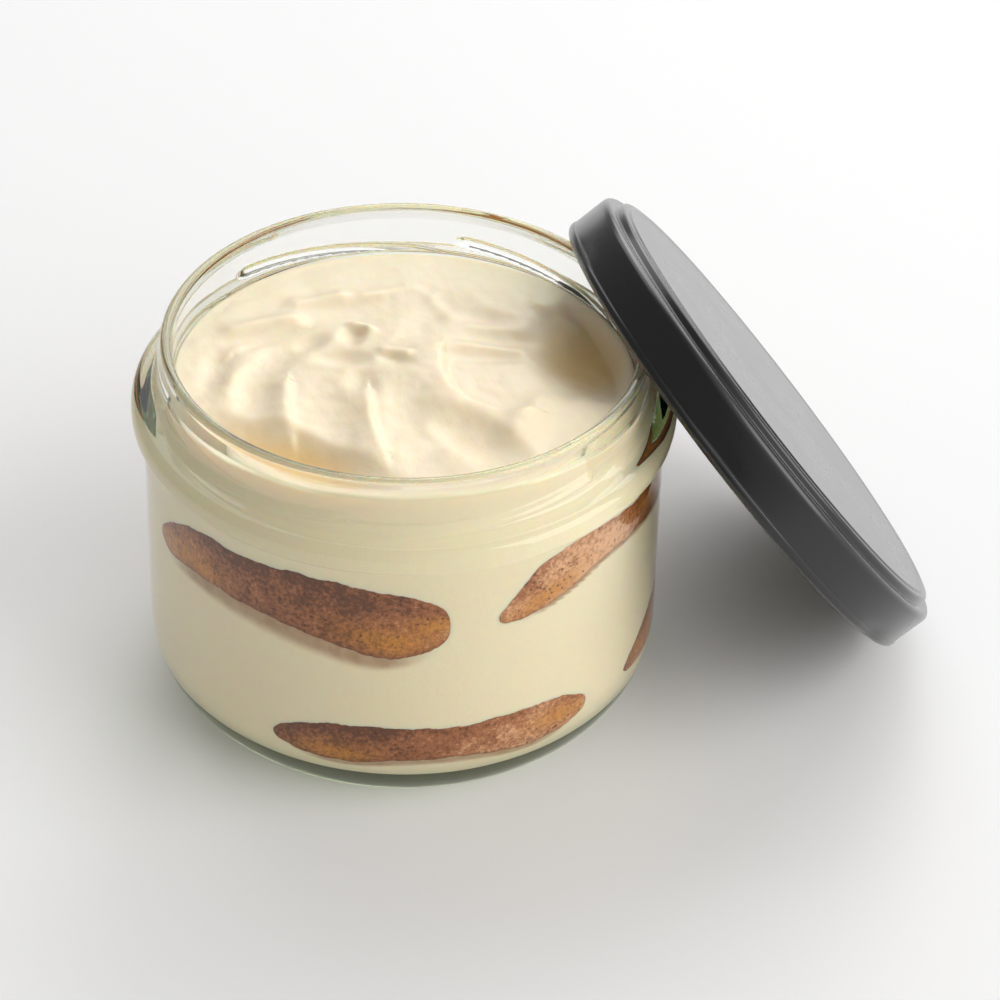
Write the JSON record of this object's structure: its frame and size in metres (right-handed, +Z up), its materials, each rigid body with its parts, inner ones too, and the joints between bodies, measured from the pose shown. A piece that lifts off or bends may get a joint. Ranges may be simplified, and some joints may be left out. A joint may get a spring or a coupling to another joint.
{
  "type": "jar of tiramisu",
  "caption": "Squat twist-off glass jar filled with spooned mascarpone cream over two layers of ladyfingers, its pressed metal lug cap leaning on the rim.",
  "frame": {"origin": "middle of the whole object's footprint, on the surface that the jar and the cap stand on", "axes": "+Z up along the jar's axis, +X from the jar towards the leaning cap, +Y to the left of that"},
  "size_m": [0.1322, 0.088, 0.0739],
  "materials": {
    "glass": "clear soda-lime glass, faintly green where it is thick",
    "cream": "soft mascarpone cream with a satin sheen",
    "ladyfinger": "soaked ladyfinger sponge, porous and mottled brown",
    "lid_paint": "satin black lacquer on pressed tinplate",
    "seal": "soft matt sealing compound"
  },
  "bodies": {
    "root": {"jar_glass": "glass", "cream": "cream", "biscuit_upper_left": "ladyfinger", "biscuit_upper_right": "ladyfinger", "biscuit_upper_back_right": "ladyfinger", "biscuit_upper_back_left": "ladyfinger", "biscuit_lower_front": "ladyfinger", "biscuit_lower_right": "ladyfinger", "biscuit_lower_back": "ladyfinger", "biscuit_lower_left": "ladyfinger", "lid": "lid_paint", "lid_seal": "seal"}
  },
  "joints": []
}
